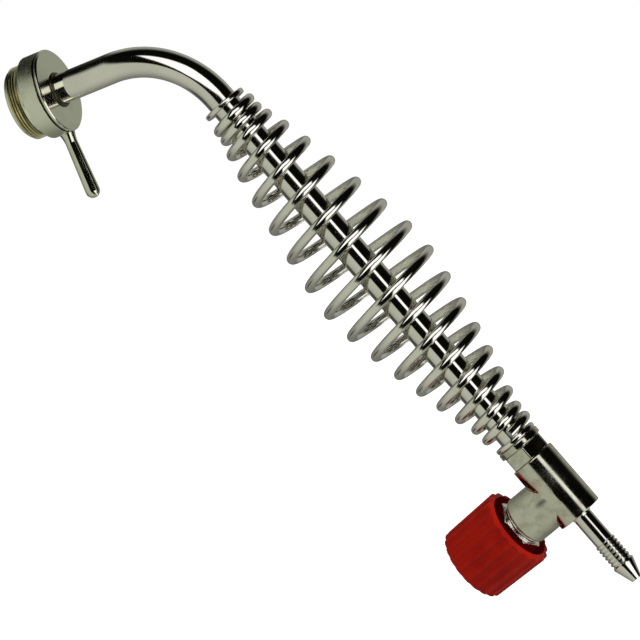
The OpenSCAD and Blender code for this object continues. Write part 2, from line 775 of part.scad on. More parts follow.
// a filleted stem, fine even ridges and an end barb, drilled right through
module hose_tail() {
    stem_r = stem_d/2;
    barb_s = tail_end_s - barb_len;
    ridge_end_s = barb_s - ridge_pitch/2;
    ridge_s = ridge_end_s - ridge_count*ridge_pitch;
    color("silver") along_handle() difference() {
        union() {
            rod(tail_thread_d/2, body_end_s - tail_thread_len, body_end_s);
            rod(stem_r, body_end_s - fit_gap, ridge_s + fit_gap);
            rotate_extrude() difference() {
                translate([0, body_end_s]) square([stem_r + root_fillet, root_fillet]);
                translate([stem_r + root_fillet, body_end_s + root_fillet]) circle(r = root_fillet);
            }
            rotate_extrude() polygon(concat(
                [[0, ridge_s]],
                [for (k = [0:ridge_count - 1]) each [
                    [ridge_d/2 - ridge_depth, ridge_s + k*ridge_pitch],
                    [ridge_d/2, ridge_s + (k + 0.5)*ridge_pitch]
                ]],
                [
                    [ridge_d/2 - ridge_depth, ridge_end_s],
                    [barb_d/2, barb_s], [barb_d/2, barb_s + barb_land],
                    [tip_d/2, tail_end_s], [0, tail_end_s]
                ]
            ));
        }
        rod(tail_bore/2, body_end_s - tail_thread_len - cut, tail_end_s + cut);
    }
}

module tail_seal() {
    color("black") along_handle()
        ring(tail_seal_d/2, tail_thread_d/2 + face_gap, body_end_s - body_seal_t, body_end_s - fit_gap);
}

screw_head();
tommy_bar();
swivel_bush();
retaining_ring();
thrust_washer();
tube_nipple();
face_seal();
gooseneck_tube();
upper_stop_ring();
coil_grip();
lower_stop_ring();
tube_connector();
connector_seal();
valve_body();
valve_seat();
bonnet();
bonnet_seal();
stem_packing();
gland_nut();
hose_tail();
tail_seal();
jumper();
jumper_pad();
spindle();
control_knob();
knob_screw();
knob_cap();
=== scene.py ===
# Valved gooseneck wand: turned, wound and moulded pieces with their finishes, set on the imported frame
import json
import math

import bmesh
import bpy
import numpy as np
from mathutils import Matrix, Vector


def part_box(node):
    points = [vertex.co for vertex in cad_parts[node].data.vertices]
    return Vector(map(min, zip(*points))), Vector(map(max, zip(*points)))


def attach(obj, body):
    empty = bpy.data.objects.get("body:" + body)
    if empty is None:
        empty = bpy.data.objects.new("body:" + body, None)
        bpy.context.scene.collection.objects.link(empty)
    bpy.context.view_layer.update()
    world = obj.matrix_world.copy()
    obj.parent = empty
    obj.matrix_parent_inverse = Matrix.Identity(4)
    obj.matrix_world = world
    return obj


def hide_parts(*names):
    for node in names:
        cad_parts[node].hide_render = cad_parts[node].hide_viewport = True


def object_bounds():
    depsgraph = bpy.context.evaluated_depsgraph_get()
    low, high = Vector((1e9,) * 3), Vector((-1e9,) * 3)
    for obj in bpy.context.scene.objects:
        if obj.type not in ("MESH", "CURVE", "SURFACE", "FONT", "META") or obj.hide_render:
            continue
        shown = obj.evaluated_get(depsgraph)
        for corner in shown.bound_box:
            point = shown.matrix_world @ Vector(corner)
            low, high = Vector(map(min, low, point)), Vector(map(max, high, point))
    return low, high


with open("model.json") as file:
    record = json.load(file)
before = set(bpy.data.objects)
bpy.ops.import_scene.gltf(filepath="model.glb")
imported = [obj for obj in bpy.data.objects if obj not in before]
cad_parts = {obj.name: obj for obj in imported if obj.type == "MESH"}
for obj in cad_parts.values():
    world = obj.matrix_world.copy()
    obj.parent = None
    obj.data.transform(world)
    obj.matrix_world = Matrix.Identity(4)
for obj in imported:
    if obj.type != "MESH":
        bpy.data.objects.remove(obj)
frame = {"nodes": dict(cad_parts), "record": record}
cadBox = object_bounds()
print("frame loaded:", len(frame["nodes"]), "nodes")

mm = 0.001  # local sizes below are in millimetres, and each place matrix turns them into metres
record = frame["record"]
joints = {j["name"]: j for j in record["behaviour"]["joints"]}
bodyOf = {node: body for body, nodes in record["behaviour"]["bodies"].items() for node in nodes}
slotOf = {s["node"]: s["material_slot"] for s in record["subparts"]}

branchPos = Vector(joints["knob_turn"]["pos_m"])
branchDir = Vector(joints["knob_turn"]["axis"]).normalized()
handleDir = Vector((-branchDir.z, 0, branchDir.x))
cornerPos = branchPos - handleDir * (branchPos.z / handleDir.z)  # where the handle's line meets the head's


def placeAlong(origin, zDir, xDir, scale=mm):  # local z runs along zDir, local x along xDir
    place = Matrix((xDir, zDir.cross(xDir), zDir)).transposed().to_4x4()
    place.translation = origin
    return place @ Matrix.Diagonal((scale, scale, scale, 1))


headPlace = placeAlong(Vector((0, 0, 0)), Vector((1, 0, 0)), Vector((0, 0, -1)))
handlePlace = placeAlong(cornerPos, handleDir, branchDir)
branchPlace = placeAlong(branchPos, branchDir, -handleDir)


def newObject(name, data):
    made = bpy.data.objects.new(name, data)
    bpy.context.scene.collection.objects.link(made)
    return made


# the camera, rolled about its line of sight
view = {"azimuth": 22.71, "elevation": 6.94, "roll": 23.5, "lens": 242.5, "sensor": 36, "distance": 1668.7,
        "middle": (77, 0, -120), "right": -1.235, "up": -1.169}
azimuth, elevation, roll = (math.radians(view[k]) for k in ("azimuth", "elevation", "roll"))
toCamera = Vector((math.sin(azimuth) * math.cos(elevation), -math.cos(azimuth) * math.cos(elevation),
                   math.sin(elevation)))
levelRight = Vector((math.cos(azimuth), math.sin(azimuth), 0))
levelUp = toCamera.cross(levelRight)
camRight = math.cos(roll) * levelRight - math.sin(roll) * levelUp
camUp = math.sin(roll) * levelRight + math.cos(roll) * levelUp
aim = Vector(view["middle"]) + view["right"] * camRight + view["up"] * camUp
camera = newObject("camera", bpy.data.cameras.new("camera"))
camera.data.lens = view["lens"]
camera.data.sensor_width = view["sensor"]
camera.matrix_world = placeAlong((aim + view["distance"] * toCamera) * mm, toCamera, camRight, 1)
bpy.context.scene.camera = camera
bpy.context.scene.view_settings.view_transform = "Standard"
print("camera placed")


class Num:  # arithmetic on node sockets, for geometry and shader trees alike
    def __init__(self, tree, socket):
        self.tree, self.socket = tree, socket

    def math(self, operation, *others):
        node = self.tree.nodes.new("ShaderNodeMath")
        node.operation = operation
        for slot, value in zip(node.inputs, (self,) + others):
            plug(self.tree, value, slot)
        return Num(self.tree, node.outputs[0])

    def __add__(self, other):
        return self.math("ADD", other)

    def __sub__(self, other):
        return self.math("SUBTRACT", other)

    def __mul__(self, other):
        return self.math("MULTIPLY", other)

    def __truediv__(self, other):
        return self.math("DIVIDE", other)

    def step(self, low, high):  # 0 below low, 1 above high, smooth between
        node = self.tree.nodes.new("ShaderNodeMapRange")
        node.interpolation_type = "SMOOTHSTEP"
        for name, value in (("Value", self), ("From Min", low), ("From Max", high)):
            plug(self.tree, value, node.inputs[name])
        return Num(self.tree, node.outputs["Result"])


def plug(tree, value, slot):  # link a socket, or set a plain value
    if isinstance(value, Num):
        tree.links.new(value.socket, slot)
    elif isinstance(value, bpy.types.NodeSocket):
        tree.links.new(value, slot)
    else:
        slot.default_value = value


def node(tree, kind, values=None, **settings):  # a node with its settings and its inputs by name or number
    made = tree.nodes.new(kind)
    for key, value in settings.items():
        setattr(made, key, value)
    for key, value in (values or {}).items():
        plug(tree, value, made.inputs[key])
    return made


def vectorOf(tree, x, y, z):
    return node(tree, "ShaderNodeCombineXYZ", {0: x, 1: y, 2: z}).outputs[0]


def mixed(tree, factor, first, second):  # colours mixed by a mask; the Mix node numbers its sockets by kind
    made = node(tree, "ShaderNodeMix", data_type="RGBA")
    for key, value in ((0, factor), (6, first), (7, second)):
        plug(tree, (*value, 1) if isinstance(value, tuple) else value, made.inputs[key])
    return made.outputs[2]


# the room as metal sees it, in degrees right and up from the camera's direction: two window panes up in
# front with a bar between them, a dark room round them, a pale ceiling behind and an olive grey bench below;
# each fade runs between two distances from that direction, or from the shadow's middle
room = {
    "window": 1.4, "dark": (0.003, 0.003, 0.002), "rim": (0.16, 0.16, 0.15), "rimFade": (150, 170),
    "bench": (0.54, 0.56, 0.485), "benchFar": (0.21, 0.215, 0.19), "benchFade": (60, 150),
    "shadow": (0.07, 0.07, 0.06), "shadowRight": -95, "shadowUp": -80, "shadowFade": (27, 10),
    "ceiling": (0.37, 0.375, 0.34), "ceilingFade": (100, 132), "fillLow": 0.12, "fillHigh": 0.75,
}
edges = {  # each edge: how much of right and up, then an offset and half its softness, above zero inside
    "paneBottom": (-0.5, 1, -8, 2), "paneLeft": (1, 0.2, 28, 2), "paneTop": (0, -1, 47, 4),
    "paneRight": (-1, -1, 49, 4), "cornerLeft": (1, 0.6, -20, 3), "cornerBottom": (-0.42, 1, -3, 3),
    "lowPaneTop": (0.45, -1, -16, 2), "lowPaneLeft": (1.15, 1, -12, 4), "lowPaneRight": (-1, -0.35, 68, 5),
    "roomLeft": (1, 0.45, 44, 3), "roomLeftFar": (1, 0.2, 58.5, 3), "benchSlope": (0.83, 1, 41, 4),
    "benchLow": (0, 1, 66, 5), "ceilingLeft": (1, 0.2, 42, 14),
}


def buildRoom():
    world = bpy.data.worlds.new("room")
    bpy.context.scene.world = world
    world.use_nodes = True
    tree = world.node_tree
    tree.nodes.clear()
    direction = node(tree, "ShaderNodeTexCoord").outputs["Generated"]

    def along(axis):
        dot = node(tree, "ShaderNodeVectorMath", {0: direction, 1: tuple(axis)}, operation="DOT_PRODUCT")
        return Num(tree, dot.outputs["Value"])

    most = 0.99999  # keeps the square root below off zero
    facing = along(toCamera).math("MINIMUM", most).math("MAXIMUM", -most)
    away = facing.math("ARCCOSINE") * math.degrees(1)
    stretch = away / (facing * facing * -1.0 + 1.0).math("SQRT")
    x, y = along(camRight) * stretch, along(camUp) * stretch

    def beyond(name):
        right, up, offset, soft = edges[name]
        return (x * right + y * up + offset).step(-soft, soft)

    def within(first, *others):
        inside = beyond(first)
        for name in others:
            inside = inside * beyond(name)
        return inside

    window = within("paneBottom", "paneLeft", "paneTop", "paneRight")
    window = window.math("MAXIMUM", within("cornerBottom", "cornerLeft", "paneTop", "paneRight"))
    window = window.math("MAXIMUM", within("lowPaneTop", "lowPaneLeft", "lowPaneRight"))
    right, up = x - room["shadowRight"], y - room["shadowUp"]
    fromShadow = (right * right + up * up).math("SQRT")
    bench = mixed(tree, away.step(*room["benchFade"]), room["bench"], room["benchFar"])
    bench = mixed(tree, fromShadow.step(*room["shadowFade"]), bench, room["shadow"])
    overhead = away.step(*room["ceilingFade"]) * within("ceilingLeft")
    gloom = mixed(tree, overhead, room["dark"], room["ceiling"])
    colour = mixed(tree, within("roomLeft", "roomLeftFar", "benchSlope", "benchLow"), bench, gloom)
    colour = mixed(tree, window, colour, (room["window"],) * 3)
    colour = mixed(tree, away.step(*room["rimFade"]), colour, room["rim"])
    fillSide = (2 * camUp + camRight + toCamera).normalized()  # dull surfaces see only a soft light from here
    fill = along(fillSide).step(-1, 1) * (room["fillHigh"] - room["fillLow"]) + room["fillLow"]
    light = node(tree, "ShaderNodeLightPath").outputs
    plain = mixed(tree, Num(tree, light["Is Diffuse Ray"]), colour, vectorOf(tree, fill, fill, fill))
    shown = mixed(tree, Num(tree, light["Is Camera Ray"]), plain, (1.0, 1.0, 1.0))
    background = node(tree, "ShaderNodeBackground", {"Color": shown, "Strength": 1.0})
    output = node(tree, "ShaderNodeOutputWorld")
    tree.links.new(background.outputs[0], output.inputs[0])


# the floor and the lamp, with their sizes in metres
paleFloor = {"side": 4.0, "drop": 0.3, "colour": (0.9, 0.9, 0.89, 1), "roughness": 0.8, "glow": 0.7}
windowLight = {"power": 11, "size": 0.5, "distance": 1.1, "up": 0.9, "right": 0.4}


def buildFloor():  # pale floor under the object, seen as the background's white
    side, height = paleFloor["side"], cadBox[0][2] - paleFloor["drop"]
    mesh = bpy.data.meshes.new("floor")
    corners = [(x, y, height) for x, y in ((-side, -side), (side, -side), (side, side), (-side, side))]
    mesh.from_pydata(corners, [], [(0, 1, 2, 3)])
    floor = newObject("floor", mesh)
    material = bpy.data.materials.new("paleFloor")
    material.use_nodes = True
    tree = material.node_tree
    shader = tree.nodes["Principled BSDF"]
    shader.inputs["Base Color"].default_value = paleFloor["colour"]
    shader.inputs["Roughness"].default_value = paleFloor["roughness"]
    shader.inputs["Emission Color"].default_value = (1, 1, 1, 1)
    seen = Num(tree, node(tree, "ShaderNodeLightPath").outputs["Is Camera Ray"])
    plug(tree, seen * paleFloor["glow"], shader.inputs["Emission Strength"])
    mesh.materials.append(material)
    floor.visible_glossy = False


def buildLamp():  # soft light from the window's side
    lamp = newObject("windowLight", bpy.data.lights.new("windowLight", "AREA"))
    lamp.data.energy = windowLight["power"]
    lamp.data.size = windowLight["size"]
    side = (toCamera + windowLight["up"] * camUp + windowLight["right"] * camRight).normalized()
    lamp.matrix_world = placeAlong(aim * mm + side * windowLight["distance"], side, camRight, 1)
    lamp.visible_glossy = False


buildRoom()
buildFloor()
buildLamp()
print("room, floor and lamp set")


def nodePoints(name, place):  # a node's points in a place's own millimetres
    back = np.array(place.inverted())
    points = np.array([v.co for v in frame["nodes"][name].data.vertices])
    return points @ back[:3, :3].T + back[:3, 3]


def span(name, place):  # where a node starts and ends along an axis
    heights = nodePoints(name, place)[:, 2]
    return float(heights.min()), float(heights.max())


def radii(name, place, low=-math.inf, high=math.inf):  # a node's least and greatest radius, between heights
    points = nodePoints(name, place)
    slack = 0.05
    near = (points[:, 2] > low - slack) & (points[:, 2] < high + slack)
    radius = np.hypot(points[near, 0], points[near, 1])
    return float(radius.min()), float(radius.max())


def newPiece(name, points, faces):
    mesh = bpy.data.meshes.new(name)
    mesh.from_pydata([tuple(p) for p in points], [], faces)
    mesh.validate()
    return newObject(name, mesh)


def tidyMesh(mesh):  # merge doubles, turn every face outwards
    work = bmesh.new()
    work.from_mesh(mesh)
    bmesh.ops.remove_doubles(work, verts=work.verts, dist=0.001)
    bmesh.ops.recalc_face_normals(work, faces=work.faces)
    work.to_mesh(mesh)
    work.free()


def polish(mesh, normals=None):  # smooth shading in which large faces stay flat
    mesh.shade_smooth()
    if normals is None:
        count = len(mesh.vertices)
        mesh.calc_loop_triangles()
        tris = np.zeros(len(mesh.loop_triangles) * 3, int)
        mesh.loop_triangles.foreach_get("vertices", tris)
        tris = tris.reshape(-1, 3)
        points = np.zeros(count * 3)
        mesh.vertices.foreach_get("co", points)
        points = points.reshape(-1, 3)
        area = np.cross(points[tris[:, 1]] - points[tris[:, 0]], points[tris[:, 2]] - points[tris[:, 0]])
        normals = np.zeros((count, 3))
        for k in range(3):
            np.add.at(normals, tris[:, k], area)
    normals = normals / np.maximum(np.linalg.norm(normals, axis=1, keepdims=True), 1e-20)
    mesh.normals_split_custom_set_from_vertices(normals.tolist())


def rounded(corners, steps=5):  # an outline of (radius, height, rounding) with arcs at its corners
    outline = []
    for i, (r, h, size) in enumerate(corners):
        here = Vector((r, h))
        before = Vector(corners[i - 1][:2]) - here
        after = Vector(corners[(i + 1) % len(corners)][:2]) - here
        straight = size <= 0 or before.length < 1e-4 or after.length < 1e-4
        half = math.pi / 2 if straight else before.angle(after) / 2
        if half > math.pi / 2 - 0.01:
            outline.append((r, h))
            continue
        back = min(size / math.tan(half), 0.48 * before.length, 0.48 * after.length)  # two arcs share a side
        centre = here + (before.normalized() + after.normalized()).normalized() * back / math.cos(half)
        start = here + before.normalized() * back - centre
        end = here + after.normalized() * back - centre
        turn = math.atan2(start.x * end.y - start.y * end.x, start.dot(end))
        for k in range(steps + 1):
            angle = turn * k / steps
            outline.append((
                centre.x + start.x * math.cos(angle) - start.y * math.sin(angle),
                centre.y + start.x * math.sin(angle) + start.y * math.cos(angle),
            ))
    return outline


def spun(name, outline, steps=128):  # a closed outline of (radius, height) spun round local z
    n = len(outline)
    points, faces = [], []
    for j in range(steps):
        angle = 2 * math.pi * j / steps
        k = (j + 1) % steps
        points += [(r * math.cos(angle), r * math.sin(angle), h) for r, h in outline]
        faces += [(j * n + i, k * n + i, k * n + (i + 1) % n, j * n + (i + 1) % n) for i in range(n)]
    piece = newPiece(name, points, faces)
    tidyMesh(piece.data)
    return piece


def softMax(a, b, size):  # the larger of two distances, rounded over where they meet
    h = np.maximum(size - np.abs(a - b), 0) / size
    return np.maximum(a, b) + h * h * size / 4


def softMin(a, b, size):
    return -softMax(-a, -b, size)


def rod(p, r, low, high, edge=0.2, axis=2):  # distance to a round rod along one axis
    across = [k for k in range(3) if k != axis]
    side = np.hypot(p[..., across[0]], p[..., across[1]]) - r
    ends = np.abs(p[..., axis] - (low + high) / 2) - (high - low) / 2
    return softMax(side, ends, edge)


def hexRod(p, corner, low, high, turn, edge=0.25, turnOff=0.45):  # a hexagon whose corners are turned off
    tilt = math.radians(30)
    flat = corner * math.cos(math.pi / 6)
    angles = [math.radians(turn + 30 + 60 * k) for k in range(6)]
    sides = p[..., 0] * math.cos(angles[0]) + p[..., 1] * math.sin(angles[0]) - flat
    for angle in angles[1:]:
        sides = softMax(sides, p[..., 0] * math.cos(angle) + p[..., 1] * math.sin(angle) - flat, edge)
    ends = np.abs(p[..., 2] - (low + high) / 2) - (high - low) / 2
    cone = (np.hypot(p[..., 0], p[..., 1]) - corner) * math.sin(tilt) + (ends + turnOff) * math.cos(tilt)
    return softMax(softMax(sides, ends, edge), cone, edge / 2)


def fieldPiece(name, field, low, high, step, place):  # the surface where a distance field is zero
    axes = [np.arange(low[k] - 1.5 * step, high[k] + 2.5 * step, step) for k in range(3)]  # past the piece
    grid = np.stack(np.meshgrid(*axes, indexing="ij"), -1)
    inside = field(grid) < 0
    shape = np.array(inside.shape) - 1
    count = np.zeros(shape, int)
    for dx, dy, dz in np.ndindex(2, 2, 2):  # the corners of each cell that are inside
        count += inside[dx:shape[0] + dx, dy:shape[1] + dy, dz:shape[2] + dz]
    crossed = (count > 0) & (count < 8)
    index = -np.ones(shape, int)
    index[crossed] = np.arange(crossed.sum())
    points = grid[:-1, :-1, :-1][crossed] + step / 2

    def slope(p, tiny=0.01):
        return np.stack([(field(p + side) - field(p - side)) / (2 * tiny) for side in tiny * np.eye(3)], -1)

    for k in range(6):  # slide each point onto the surface, with shorter steps where the field is flat
        g = slope(points)
        points = points - (field(points) / np.maximum((g * g).sum(-1), 0.2))[:, None] * g
    faces = []
    for axis in range(3):
        a, b = [k for k in range(3) if k != axis]
        here = [slice(1, -1)] * 3
        here[axis] = slice(0, -1)
        there = list(here)
        there[axis] = slice(1, None)
        change = inside[tuple(here)].astype(int) - inside[tuple(there)]
        at = np.argwhere(change != 0)
        at[:, a] += 1
        at[:, b] += 1
        sign = change[change != 0]
        ring = []
        for da, db in ((0, 0), (-1, 0), (-1, -1), (0, -1)):
            cell = at.copy()
            cell[:, a] += da
            cell[:, b] += db
            ring.append(index[cell[:, 0], cell[:, 1], cell[:, 2]])
        quads = np.stack(ring, -1)
        flip = (sign > 0) == (axis == 1)
        quads[flip] = quads[flip][:, ::-1]
        faces += quads.tolist()
    piece = newPiece(name, points, faces)
    normals = slope(points) @ np.array(place)[:3, :3].T
    piece.data.transform(place)
    polish(piece.data, normals)
    return piece


def newGroup(name, treeKind, inputs, outputs):  # inputs by name, each a number or its kind in words
    tree = bpy.data.node_groups.new(name, treeKind)
    for key, value in inputs.items():
        kind = value if isinstance(value, str) else type(value).__name__.title()
        socket = tree.interface.new_socket(key, in_out="INPUT", socket_type="NodeSocket" + kind)
        if kind != value:
            socket.default_value = value
    for key, kind in outputs.items():
        tree.interface.new_socket(key, in_out="OUTPUT", socket_type="NodeSocket" + kind)
    given = tree.nodes.new("NodeGroupInput")
    return tree, {key: Num(tree, given.outputs[key]) for key in inputs}


def newTree(name, inputs):
    return newGroup(name, "GeometryNodeTree", inputs | {"Material": "Material"}, {"Geometry": "Geometry"})


def endTree(tree, made, given):  # instances made real and the material set
    real = node(tree, "GeometryNodeRealizeInstances", {0: made.outputs[0]})
    painted = node(tree, "GeometryNodeSetMaterial", {0: real.outputs[0], "Material": given["Material"]})
    tree.links.new(painted.outputs[0], tree.nodes.new("NodeGroupOutput").inputs[0])


def grown(name, build, values, place, base=None):  # what a tree of these values makes, as a plain mesh
    tree = build(values)
    holder = base or newPiece(name + "Holder", [], [])
    modifier = holder.modifiers.new("grow", "NODES")
    modifier.node_group = tree
    for item in tree.interface.items_tree:
        if item.item_type == "SOCKET" and item.in_out == "INPUT" and item.name in values:
            modifier[item.identifier] = values[item.name]
    bpy.context.view_layer.update()
    mesh = bpy.data.meshes.new_from_object(holder.evaluated_get(bpy.context.evaluated_depsgraph_get()))
    bpy.data.objects.remove(holder)
    mesh.name = name
    mesh.transform(place)
    return newObject(name, mesh)


# effects that the finishes share
def effectGroup(name, inputs, *outputs):
    tree, given = newGroup(name, "ShaderNodeTree", inputs, {key: "Float" for key in outputs})
    return tree, given, tree.nodes.new("NodeGroupOutput")


def noise(tree, vector, scale, detail):
    sizes = {"Vector": vector, "Scale": scale, "Detail": detail, "Roughness": 0.55}
    return Num(tree, node(tree, "ShaderNodeTexNoise", sizes).outputs["Fac"])


def stretched(tree, vector, turn, scale):  # a vector turned, then stretched, for marks that run one way
    return node(tree, "ShaderNodeMapping", {"Vector": vector, "Rotation": turn, "Scale": scale}).outputs[0]


# marks and blotches, each with the noise at which it starts and is full; a scratch has turn and stretch too
surface = {
    "hazeScale": 90.0, "haze": (0.42, 0.72), "hazeHeight": 0.25, "speckScale": 2600.0, "speck": (0.66, 0.74),
    "scratches": (((0.4, 0.2, 0.9), (300, 5200, 5200), (0.62, 0.7)),
                  ((1.1, 0.7, -0.6), (4600, 260, 4600), (0.63, 0.71))),
    "scratchRough": 0.12, "dustRough": 0.4, "dust": (0.55, 0.54, 0.5), "blotch": (0.4, 0.7), "bumpDepth": 0.1,
    "latheSpacing": 5000.0,
}


def buildHandling():  # patches, fine scratches, handling haze and dust
    tree, given, out = effectGroup("handlingMarks", {
        "Base Roughness": 0.1, "Haze": 0.08, "Scratches": 0.5, "Dust": 0.2, "Patch Scale": 100.0,
    }, "Roughness", "Height", "Dust", "Patches")
    place = node(tree, "ShaderNodeTexCoord").outputs["Object"]
    blotch = noise(tree, place, given["Patch Scale"], 5.0).step(*surface["blotch"])
    cloud = noise(tree, place, surface["hazeScale"], 4.0).step(*surface["haze"])
    speck = noise(tree, place, surface["speckScale"], 2.0).step(*surface["speck"])
    first, second = [noise(tree, stretched(tree, place, turn, scale), 1.0, 1.0).step(*shows)
                     for turn, scale, shows in surface["scratches"]]
    lines = first.math("MAXIMUM", second) * given["Scratches"]
    dusty = speck * given["Dust"] * cloud
    rough = given["Base Roughness"] + cloud * given["Haze"]
    rough = rough + lines * surface["scratchRough"] + dusty * surface["dustRough"]
    height = cloud * surface["hazeHeight"] - lines
    for name, value in (("Roughness", rough), ("Height", height), ("Dust", dusty), ("Patches", blotch)):
        plug(tree, value, out.inputs[name])
    return tree


def buildTurning():  # lathe lines: rings on a face, rounds on a cylinder, about local z
    tree, given, out = effectGroup("turnedLines", {
        "Vector": "Vector", "Spacing": surface["latheSpacing"], "Depth": 1.0,
    }, "Height")
    parts = node(tree, "ShaderNodeSeparateXYZ", {0: given["Vector"]})
    x, y, z = [Num(tree, parts.outputs[k]) for k in range(3)]
    radius = (x * x + y * y).math("SQRT")
    lines = noise(tree, vectorOf(tree, radius * given["Spacing"], z * given["Spacing"], 0.0), 1.0, 2.0)
    plug(tree, lines * given["Depth"], out.inputs["Height"])
    return tree


handlingMarks = buildHandling()
turnedLines = buildTurning()


plainFinish = {"metallic": 0.0, "specular": 0.5, "haze": 0.08, "scratches": 0.5, "dust": 0.2, "bump": 0.02,
               "turning": 1.0}


def stuff(colour, second, patch, **more):  # two colours, how fine their patches are, and what isn't plain
    return plainFinish | {"colour": colour, "second": second, "patch": patch} | more


def newFinish(name, base, roughness, turnedOn=None, **changes):
    # two colours in patches, marks of handling, and lathe lines about a piece's own axis
    values = base | changes
    material = bpy.data.materials.new(name)
    material.use_nodes = True
    tree = material.node_tree
    shader = tree.nodes["Principled BSDF"]
    shader.inputs["Metallic"].default_value = values["metallic"]
    shader.inputs["Specular IOR Level"].default_value = values["specular"]
    place = node(tree, "ShaderNodeTexCoord").outputs["Object"]
    marks = node(tree, "ShaderNodeGroup", {
        "Base Roughness": roughness, "Haze": values["haze"], "Scratches": values["scratches"],
        "Dust": values["dust"], "Patch Scale": values["patch"],
    }, node_tree=handlingMarks)
    height = Num(tree, marks.outputs["Height"])
    if turnedOn:
        local = node(tree, "ShaderNodeMapping", {
            "Vector": place, "Location": turnedOn.translation, "Rotation": turnedOn.to_euler(),
        }, vector_type="TEXTURE")
        lines = node(tree, "ShaderNodeGroup", {
            "Vector": local.outputs[0], "Spacing": surface["latheSpacing"], "Depth": values["turning"],
        }, node_tree=turnedLines)
        height = height + Num(tree, lines.outputs["Height"])
    raised = node(tree, "ShaderNodeBump", {
        "Strength": values["bump"], "Distance": surface["bumpDepth"] * mm, "Height": height,
    })
    tint = mixed(tree, marks.outputs["Patches"], values["colour"], values["second"])
    pale = mixed(tree, marks.outputs["Dust"], tint, surface["dust"])
    tree.links.new(pale, shader.inputs["Base Color"])
    tree.links.new(marks.outputs["Roughness"], shader.inputs["Roughness"])
    tree.links.new(raised.outputs[0], shader.inputs["Normal"])
    return material


nickel = stuff((0.80, 0.785, 0.72), (0.75, 0.735, 0.665), 60.0, metallic=1.0)
satin = stuff((0.72, 0.73, 0.59), (0.62, 0.63, 0.50), 110.0, metallic=1.0)
cast = stuff((0.62, 0.61, 0.50), (0.48, 0.46, 0.37), 260.0, metallic=1.0, haze=0.1)
threadMetal = stuff((0.84, 0.80, 0.56), (0.62, 0.57, 0.34), 220.0, metallic=1.0, haze=0.1)
brass = stuff((0.66, 0.52, 0.28), (0.5, 0.38, 0.2), 200.0, metallic=1.0, bump=0.1)
darkBrass = stuff((0.11, 0.095, 0.06), (0.05, 0.04, 0.025), 300.0, metallic=1.0, bump=0.1)
darkSteel = stuff((0.42, 0.42, 0.43), (0.3, 0.29, 0.27), 400.0, metallic=1.0, bump=0.1)
paleSteel = stuff((0.55, 0.55, 0.56), (0.45, 0.45, 0.45), 400.0, metallic=1.0, bump=0.1)
redPlastic = stuff((0.27, 0.007, 0.0025), (0.22, 0.005, 0.002), 120.0, specular=0.06, haze=0.1, dust=0.03,
                   scratches=0.0, bump=0.1)
whitePlastic = stuff((0.86, 0.85, 0.80), (0.78, 0.76, 0.7), 300.0, bump=0.2)
rubber = stuff((0.03, 0.03, 0.03), (0.05, 0.05, 0.048), 500.0, dust=0.8, bump=0.4)
fibre = stuff((0.42, 0.16, 0.08), (0.3, 0.1, 0.05), 900.0, bump=0.5)
finishes = {
    "plated_head": newFinish("platedHead", satin, 0.11, turnedOn=headPlace, bump=0.08),
    "plated_lever": newFinish("platedLever", satin, 0.08),
    "plated_tube": newFinish("platedTube", nickel, 0.045, haze=0.03),
    "plated_ring": newFinish("platedRing", nickel, 0.07),
    "plated_wire": newFinish("platedWire", nickel, 0.07, haze=0.05),
    "plated_connector": newFinish("platedConnector", cast, 0.08, bump=0.05),
    "plated_body": newFinish("platedBody", cast, 0.09, bump=0.06),
    "plated_bonnet": newFinish("platedBonnet", nickel, 0.1),
    "plated_gland": newFinish("platedGland", nickel, 0.12),
    "plated_tail": newFinish("platedTail", nickel, 0.06, haze=0.05, turnedOn=handlePlace, turning=0.5),
    "bush_brass": newFinish("bushBrass", darkBrass, 0.28, turnedOn=headPlace),
    "nipple_brass": newFinish("nippleBrass", brass, 0.25, turnedOn=headPlace),
    "seat_brass": newFinish("seatBrass", brass, 0.22, turnedOn=branchPlace),
    "spindle_brass": newFinish("spindleBrass", brass, 0.2, turnedOn=branchPlace),
    "ring_steel": newFinish("ringSteel", darkSteel, 0.3),
    "screw_steel": newFinish("screwSteel", paleSteel, 0.25, turnedOn=branchPlace),
    "washer_plastic": newFinish("washerPlastic", whitePlastic, 0.45),
    "seal_rubber": newFinish("sealRubber", rubber, 0.6),
    "seal_fibre": newFinish("sealFibre", fibre, 0.75),
    "knob_plastic": newFinish("knobPlastic", redPlastic, 0.4),
    "cap_plastic": newFinish("capPlastic", redPlastic, 0.34),
}
threadFinish = newFinish("platedThread", threadMetal, 0.16, turnedOn=headPlace, bump=0.08)
for name, cadObject in frame["nodes"].items():
    cadObject.data.materials.clear()
    cadObject.data.materials.append(finishes[slotOf[name]])
print("finishes made:", len(finishes) + 1)


def seat(piece, name, stands=True, finish=None):  # a finished piece takes its node's body, finish and place
    piece.data.materials.clear()
    piece.data.materials.append(finish or finishes[slotOf[name]])
    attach(piece, bodyOf[name])
    if stands:
        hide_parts(name)


crisp, broken, eased = 0.1, 0.3, 0.5  # how far a cut edge, a broken edge and an eased edge are rounded


def turnPiece(name, outline, place, steps=128, way="turned"):  # a round piece, made for its node
    piece = spun(f"{name}_{way}", outline, steps)
    piece.data.transform(place)
    polish(piece.data)
    seat(piece, name)


# the head: turned outline, and its thread as a ridge wound along a helix
# the dark colour, its fade and its rise at the end of this table are painted shade for the thread's roots and
# the flange's groove
head = {"lip": 0.8, "relief": 1.0, "chamfer": 0.5, "grooveBack": 1.2, "grooveWidth": 0.9, "grooveDepth": 0.6,
        "threadDepth": 0.9, "threadPitch": 1.16, "threadLead": 0.4, "threadRound": 0.15,
        "threadSharp": math.radians(30), "ringGap": 0.05, "steps": 192, "paintedShade": (0.05, 0.045, 0.025),
        "paintedShadeFade": 0.1, "paintedShadeRise": 0.6}
headFront, headFace = span("screw_head", headPlace)
flangeR = radii("screw_head", headPlace)[1]
threadR = radii("screw_head", headPlace, headFront, 0)[1]
threadHalf = -headFront - head["lip"]
coreR = threadR - head["threadDepth"]


